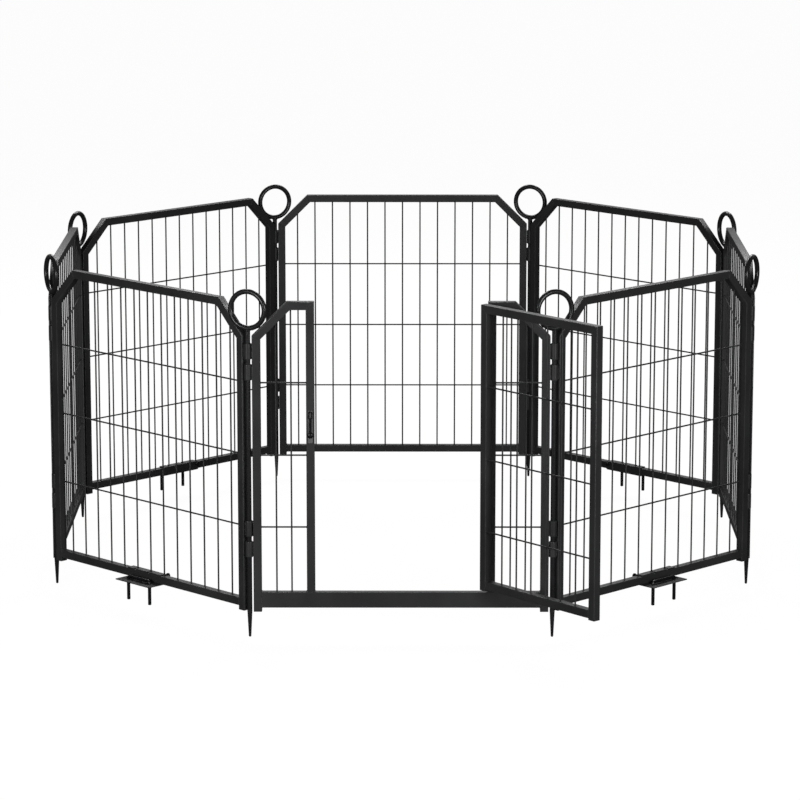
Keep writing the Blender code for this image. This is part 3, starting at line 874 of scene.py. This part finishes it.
def latch_rivet_mesh():
    """A round-headed rivet through the plate and the bar's eye, pointing out of the pen."""
    under_head = FACE + 3 * GAP + LATCH_PLATE_THICK + LATCH_BAR_THICK
    profile = [(RIVET_RADIUS, FACE + GAP, 0), (RIVET_RADIUS, under_head, 0)]
    profile += dome(RIVET_HEAD_RADIUS, under_head, RIVET_HEAD)
    turn = Matrix.Translation((LATCH_X, 0, LATCH_PIVOT_HEIGHT)) @ Matrix.Rotation(pi / 2, 4, "X")
    return mesh_from(moved(turned(profile), turn), "latch_rivet")


def hinge_pin_mesh(bottom):
    """A domed pin standing in a door hinge's two barrels."""
    top = bottom + 2 * BARREL_LENGTH + 2 * GAP
    profile = [
        (PIN_RADIUS * POINT_SHARE, bottom, 1),
        (PIN_RADIUS, bottom + PIN_EASE, 0),
        (PIN_RADIUS, top, 0),
    ]
    profile += dome(PIN_HEAD_RADIUS, top, PIN_HEAD)
    return mesh_from(moved(turned(profile), Matrix.Translation((*LEAF_AXIS, 0))), "hinge_pin")


# ---------------------------------------------------------------------- anchors


def bracket_middle(screw_side):
    return -screw_side * BRACKET_SHIFT


def screw_x(screw_side):
    return bracket_middle(screw_side) + screw_side * (BRACKET_LENGTH / 2 - SCREW_INSET)


def screw_place(screw_side):
    """The screw's axis runs level from the rail's inner face towards the middle of the pen."""
    place = Matrix.Translation((screw_x(screw_side), 0, SCREW_HEIGHT))
    return place @ Matrix.Rotation(-pi / 2, 4, "X")


def bracket_mesh(screw_side):
    """A plate folded over the bottom rail from inside, with a shelf that reaches out under it."""
    half = BRACKET_THICK / 2
    shelf = FOOT - GAP - half
    web = FACE + GAP + half
    flange = WINDOW_BOTTOM + GAP + half
    corners = [
        Vector((-BRACKET_REACH, shelf)),
        Vector((web, shelf)),
        Vector((web, flange)),
        Vector((BRACKET_LIP, flange)),
    ]
    section = rounded_section(BRACKET_THICK, BRACKET_LENGTH, BRACKET_EASE)
    middle = bracket_middle(screw_side)
    turn = Matrix.Translation((middle, 0, 0)) @ Matrix.Rotation(pi / 2, 4, "Z")
    mesh = mesh_from(moved(swept(rounded_path(corners, BRACKET_BEND), section), turn), "bracket")
    deep = 3 * BRACKET_THICK
    holes = []
    for side in (-1, 1):
        x = middle + side * STAPLE_SPREAD / 2
        low = (x, -STAPLE_OUT, shelf - deep)
        high = (x, -STAPLE_OUT, shelf + deep)
        holes.append(beam(low, high, [STAPLE_HOLE] * 2, ROUND))
    x = screw_x(screw_side)
    bore = SCREW_RADIUS + 2 * GAP
    holes.append(beam((x, FACE, SCREW_HEIGHT), (x, web + deep, SCREW_HEIGHT), [bore] * 2, ROUND))
    for x in plain_columns():
        if abs(x - middle) < BRACKET_LENGTH / 2:
            low = (x - BRACKET_SLOT, -TUBE, flange - deep)
            high = (x + BRACKET_SLOT, WIRE_INSET + BRACKET_SLOT, flange + deep)
            holes.append(block(low, high, SLOT_CORNER))
    return cut(mesh, together(holes))


def staple_mesh(screw_side):
    """A round rod bent into a U, its prongs eased at the bottom."""
    half = STAPLE_SPREAD / 2
    top = FOOT + STAPLE_BEND
    corners = [
        Vector((-half, STAPLE_BOTTOM)),
        Vector((-half, top)),
        Vector((half, top)),
        Vector((half, STAPLE_BOTTOM)),
    ]
    path = rounded_path(corners, STAPLE_BEND, 10)
    path.insert(1, path[0] + Vector((0, STAPLE_EASE)))
    path.insert(-1, path[-1] + Vector((0, STAPLE_EASE)))
    rings = mitred_rings(path, round_section(STAPLE_RADIUS, STAPLE_SIDES))
    share = STAPLE_TIP_SHARE
    for ring, x in ((rings[0], -half), (rings[-1], half)):
        ring[:] = [(x + (px - x) * share, py * share, pz) for px, py, pz in ring]
    rubbed = [[1] * STAPLE_SIDES] * 2
    wear = rubbed + [[0] * STAPLE_SIDES] * (len(rings) - 4) + rubbed
    place = Matrix.Translation((bracket_middle(screw_side), -STAPLE_OUT, 0))
    return mesh_from(moved(skin(rings, wear), place), "staple")


def screw_mesh(screw_side):
    """A thumb screw through the bracket from inside: a threaded shank and a knurled head."""
    start = FACE + GAP
    stand = start + BRACKET_THICK + SCREW_STAND
    turns = int((stand - start) / SCREW_THREAD)
    root = SCREW_RADIUS * SCREW_ROOT_SHARE
    shank = [(SCREW_RADIUS * POINT_SHARE, start, 1)]
    for i in range(turns):
        z = start + SCREW_THREAD_START + i * SCREW_THREAD
        shank += [(root, z, 0), (SCREW_RADIUS, z + SCREW_THREAD / 2, 0)]
    shank.append((root, stand + SCREW_BITE, 0))
    rim = SCREW_RIM
    full = SCREW_HEAD_RADIUS * (1 - SCREW_KNURL_DEPTH)
    dished = stand + SCREW_HEAD - SCREW_DISH
    head = [
        (SCREW_HEAD_RADIUS * 0.45, stand, 0),
        (full - rim, stand, 1),
        (full, stand + rim, 1),
        (full, stand + SCREW_HEAD - rim, 1),
        (full - rim, stand + SCREW_HEAD, 1),
        (full * 0.55, stand + SCREW_HEAD, 1),
        (full * 0.45, dished, 0),
        (full * 0.10, dished, 0),
    ]
    knurled = turned(head, SCREW_KNURLS * 4, scallops=SCREW_KNURLS, depth=SCREW_KNURL_DEPTH)
    both = together([turned(shank, SCREW_SIDES), knurled])
    return mesh_from(moved(both, screw_place(screw_side)), "thumb_screw")


# -------------------------------------------------------------------- materials


def add_node(tree, kind, **values):
    """A shader node with some of its settings or inputs given by name."""
    node = tree.nodes.new(kind)
    for name, value in values.items():
        if name in node.bl_rna.properties:
            setattr(node, name, value)
        else:
            node.inputs[name.replace("_", " ")].default_value = value
    return node


def noise(tree, where, scale, detail, roughness=0.5):
    node = add_node(tree, "ShaderNodeTexNoise", Scale=scale, Detail=detail, Roughness=roughness)
    tree.links.new(where, node.inputs["Vector"])
    return node.outputs["Fac"]


def spread_to(tree, value, low, high, to_low, to_high):
    """A value mapped from one range to another and held inside it."""
    node = add_node(tree, "ShaderNodeMapRange")
    numbers = (low, high, to_low, to_high)
    for name, number in zip(("From Min", "From Max", "To Min", "To Max"), numbers):
        node.inputs[name].default_value = number
    tree.links.new(value, node.inputs["Value"])
    return node.outputs["Result"]


def mixed(tree, share, first, second):
    """A colour between two others; each is a colour or another node's output."""
    node = add_node(tree, "ShaderNodeMix", data_type="RGBA")
    tree.links.new(share, node.inputs["Factor"])
    for socket, colour in ((node.inputs[6], first), (node.inputs[7], second)):
        if isinstance(colour, bpy.types.NodeSocket):
            tree.links.new(colour, socket)
        else:
            socket.default_value = (*colour, 1.0)
    return node.outputs[2]


def arithmetic(tree, operation, first, second):
    node = add_node(tree, "ShaderNodeMath", operation=operation)
    for socket, value in zip(node.inputs, (first, second)):
        if isinstance(value, bpy.types.NodeSocket):
            tree.links.new(value, socket)
        else:
            socket.default_value = value
    return node.outputs["Value"]


def powder_coat(name, colour, roughness, peel):
    """Baked black powder coat: patchy tone, a fine peel, satin gloss, and rubbed corners."""
    material = bpy.data.materials.new(name)
    material.use_nodes = True
    tree = material.node_tree
    shader = tree.nodes["Principled BSDF"]
    shader.inputs["IOR"].default_value = 1.5
    shader.inputs["Specular IOR Level"].default_value = SPECULAR_LEVEL
    where = tree.nodes.new("ShaderNodeTexCoord").outputs["Object"]
    patches = noise(tree, where, PATCH_SCALE, 4)
    grain = noise(tree, where, GRAIN_SCALE, 3, 0.6)
    fine = noise(tree, where, FINE_SCALE, 2)
    rubs = noise(tree, where, RUB_SCALE, 5, 0.65)
    wear = add_node(tree, "ShaderNodeAttribute", attribute_name="wear").outputs["Fac"]

    darker = [value * 0.80 for value in colour]
    lighter = [value * 1.25 for value in colour]
    rubbed = [0.5 * value + 0.028 for value in colour]
    tone = mixed(tree, spread_to(tree, patches, 0.35, 0.65, 0, 1), darker, lighter)
    specks = spread_to(tree, fine, 0.58, 0.75, 0, 0.35)
    speckled = mixed(tree, specks, tone, [value * 2 for value in colour])
    rub = arithmetic(tree, "MULTIPLY", wear, spread_to(tree, rubs, 0.48, 0.68, 0, 0.75))
    tree.links.new(mixed(tree, rub, speckled, rubbed), shader.inputs["Base Color"])

    uneven = spread_to(tree, grain, 0.3, 0.7, roughness - 0.05, roughness + 0.05)
    smoother = arithmetic(tree, "MULTIPLY", rub, 0.10)
    tree.links.new(arithmetic(tree, "SUBTRACT", uneven, smoother), shader.inputs["Roughness"])

    height = arithmetic(tree, "ADD", grain, arithmetic(tree, "MULTIPLY", fine, 0.35))
    bump = add_node(tree, "ShaderNodeBump", Strength=0.5, Distance=peel)
    tree.links.new(height, bump.inputs["Height"])
    tree.links.new(bump.outputs["Normal"], shader.inputs["Normal"])
    return material


# --------------------------------------------------------------------- assembly


def corner_places():
    """The hinge line of each stake, at the height of the panels' feet."""
    places = []
    for name in STAKE_NAMES:
        low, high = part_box(name)
        middle = (low + high) / 2
        places.append(Vector((middle.x, middle.y, low.z + STAKE_DEPTH)))
    return places


def facing(place, along):
    """The matrix of a frame at a place, whose x runs along the given level direction."""
    return Matrix.Translation(place) @ Matrix.Rotation(atan2(along.y, along.x), 4, "Z")


def show(node, mesh, place, body, slot, flat=False):
    """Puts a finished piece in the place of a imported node."""
    if not mesh.materials:
        mesh.materials.append(materials[slot])
    piece = bpy.data.objects.new(node + "_detail", mesh)
    bpy.context.scene.collection.objects.link(piece)
    piece.matrix_world = place
    if flat:
        normals = piece.modifiers.new("flat faces", "WEIGHTED_NORMAL")
        normals.keep_sharp = True
        normals.weight = 90
    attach(piece, body)
    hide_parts(node)
    return piece


def add_plain_panel(number, place, frame_mesh, wires):
    name = PANEL_NAMES[number]
    show(name + "_frame", frame_mesh, place, name, "frame_coat", flat=True)
    show(name + "_wire_mesh", wires, place, name, "wire_coat")
    if number in ANCHOR_SCREW_SIDES:
        side = ANCHOR_SCREW_SIDES[number]
        show(name + "_anchor_bracket", bracket_mesh(side), place, name, "frame_coat", flat=True)
        show(name + "_anchor_screw", screw_mesh(side), place, name, "hardware_coat")
        show(name + "_anchor_staple", staple_mesh(side), place, name + "_staple", "hardware_coat")


def add_door_panel(place):
    body = "door_panel"
    show("door_panel_frame", door_frame_mesh(), place, body, "frame_coat", flat=True)
    for label, side in (("left", -1), ("right", 1)):
        show("door_panel_" + label + "_wire_mesh", fixed_wire_mesh(side), place, body, "wire_coat")
    plate = latch_plate_mesh()
    plate.materials.append(materials["plate_coat"])
    show("latch_plate", plate, place, body, "frame_coat", flat=True)
    show("latch_rivet", latch_rivet_mesh(), place, body, "hardware_coat")
    show("latch_bar", latch_bar_mesh(), place, "latch", "hardware_coat", flat=True)
    for label, bottom in zip(("lower", "upper"), BARREL_HEIGHTS):
        show("door_hinge_pin_" + label, hinge_pin_mesh(bottom), place, body, "hardware_coat")
    axis = Matrix.Translation((*LEAF_AXIS, 0))
    opened = place @ axis @ Matrix.Rotation(radians(LEAF_OPEN_ANGLE), 4, "Z") @ axis.inverted()
    show("door_leaf_frame", leaf_frame_mesh(), opened, "door_leaf", "frame_coat", flat=True)
    show("door_leaf_wire_mesh", leaf_wire_mesh(), opened, "door_leaf", "wire_coat")


def add_stakes(corners):
    """Each ring faces outward from the pen's middle."""
    mesh = stake_mesh()
    middle = sum(corners, Vector()) / len(corners)
    for name, corner in zip(STAKE_NAMES, corners):
        out = corner - middle
        show(name, mesh, facing(corner, Vector((-out.y, out.x, 0))), name, "stake_coat")


def add_pen():
    corners = corner_places()
    frame_mesh = plain_frame_mesh()
    wires = plain_wire_mesh()
    for number in range(len(PANEL_NAMES)):
        left = corners[number]
        right = corners[(number + 1) % len(corners)]
        place = facing((left + right) / 2, right - left)
        if number == 0:
            add_door_panel(place)
        else:
            add_plain_panel(number, place, frame_mesh, wires)
    add_stakes(corners)


# ----------------------------------------------------------------------- studio


def add_camera():
    data = bpy.data.cameras.new("camera")
    data.lens = CAMERA_LENS
    data.sensor_width = SENSOR_WIDTH
    camera = bpy.data.objects.new("camera", data)
    camera.location = CAMERA_PLACE
    camera.rotation_euler = (pi / 2 - CAMERA_PITCH, 0, CAMERA_YAW)
    bpy.context.scene.collection.objects.link(camera)
    bpy.context.scene.camera = camera


def add_softbox(name, place, target, power):
    data = bpy.data.lights.new(name, "AREA")
    data.shape = "RECTANGLE"
    data.size = SOFTBOX_SIZE
    data.size_y = SOFTBOX_SIZE
    data.energy = power
    light = bpy.data.objects.new(name, data)
    light.location = place
    light.rotation_euler = (Vector(target) - Vector(place)).to_track_quat("-Z", "Y").to_euler()
    bpy.context.scene.collection.objects.link(light)


def add_world():
    """A dim studio sky with a bright band low down behind the pen."""
    world = bpy.data.worlds.new("studio")
    bpy.context.scene.world = world
    world.use_nodes = True
    tree = world.node_tree
    direction = tree.nodes.new("ShaderNodeTexCoord").outputs["Generated"]
    parts = tree.nodes.new("ShaderNodeSeparateXYZ")
    tree.links.new(direction, parts.inputs["Vector"])
    foot = spread_to(tree, parts.outputs["Z"], *BAND_FOOT, 0, 1)
    head = spread_to(tree, parts.outputs["Z"], *BAND_HEAD, 1, 0)
    behind = spread_to(tree, parts.outputs["Y"], *BAND_SIDE, 0, BAND)
    band = arithmetic(tree, "MULTIPLY", arithmetic(tree, "MULTIPLY", foot, head), behind)
    background = tree.nodes["Background"]
    tree.links.new(arithmetic(tree, "ADD", band, SKY), background.inputs["Strength"])
    background.inputs["Color"].default_value = (1, 1, 1, 1)


def pale_material(name, glow, albedo):
    """A matt surface that glows evenly, with a little shade left in it."""
    material = bpy.data.materials.new(name)
    material.use_nodes = True
    shader = material.node_tree.nodes["Principled BSDF"]
    shader.inputs["Base Color"].default_value = (albedo, albedo, albedo, 1)
    shader.inputs["Roughness"].default_value = 1.0
    shader.inputs["Specular IOR Level"].default_value = 0.0
    shader.inputs["Emission Color"].default_value = (1, 1, 1, 1)
    shader.inputs["Emission Strength"].default_value = glow
    return material


def add_stage_object(name, mesh, material):
    mesh.materials.append(material)
    item = bpy.data.objects.new(name, mesh)
    item.visible_glossy = False
    item.visible_diffuse = False
    bpy.context.scene.collection.objects.link(item)
    return item


def add_floor():
    """A wide pale floor under the stakes' tips, kept out of the coat's gloss."""
    half = FLOOR_HALF
    mesh = bpy.data.meshes.new("floor")
    corners = [(-half, -half, 0), (half, -half, 0), (half, half, 0), (-half, half, 0)]
    mesh.from_pydata(corners, [], [(0, 1, 2, 3)])
    floor = add_stage_object("floor", mesh, pale_material("pale_floor", FLOOR_GLOW, FLOOR_ALBEDO))
    floor.location.z = -FLOOR_CLEARANCE


def add_backdrop():
    """A pale dome round the floor that only the camera sees."""
    shape = bmesh.new()
    radius = FLOOR_HALF * BACKDROP_SHARE
    bmesh.ops.create_uvsphere(shape, u_segments=48, v_segments=24, radius=radius)
    mesh = bpy.data.meshes.new("backdrop")
    shape.to_mesh(mesh)
    shape.free()
    backdrop = add_stage_object("backdrop", mesh, pale_material("pale_backdrop", 1.0, 0.0))
    backdrop.visible_transmission = False
    backdrop.visible_shadow = False


def add_studio():
    add_camera()
    add_world()
    add_floor()
    add_backdrop()
    for label, side in (("left", -1), ("right", 1)):
        front = (side * SIDE_SOFTBOX[0], *SIDE_SOFTBOX[1:])
        back = (side * BACK_SOFTBOX[0], *BACK_SOFTBOX[1:])
        add_softbox(label + "_softbox", front, SIDE_AIM, SIDE_POWER)
        add_softbox(label + "_back_softbox", back, BACK_AIM, BACK_POWER)
    bpy.context.scene.view_settings.view_transform = "Standard"


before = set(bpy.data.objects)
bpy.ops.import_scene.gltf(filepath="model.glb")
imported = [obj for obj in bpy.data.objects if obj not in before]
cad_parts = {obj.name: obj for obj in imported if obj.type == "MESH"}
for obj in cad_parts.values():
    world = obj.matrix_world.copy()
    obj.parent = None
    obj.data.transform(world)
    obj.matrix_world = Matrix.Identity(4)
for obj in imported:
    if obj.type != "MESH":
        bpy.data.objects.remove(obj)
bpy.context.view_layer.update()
materials = {
    "frame_coat": powder_coat("frame_coat_satin", BLACK, 0.38, 0.00012),
    "wire_coat": powder_coat("wire_coat_satin", BLACK, 0.42, 0.00010),
    "stake_coat": powder_coat("stake_coat_satin", STAKE_BLACK, 0.27, 0.00008),
    "hardware_coat": powder_coat("hardware_coat_satin", HARDWARE_BLACK, 0.28, 0.00006),
    "plate_coat": powder_coat("plate_coat_satin", PLATE_BLACK, 0.36, 0.00006),
}
add_studio()
add_pen()
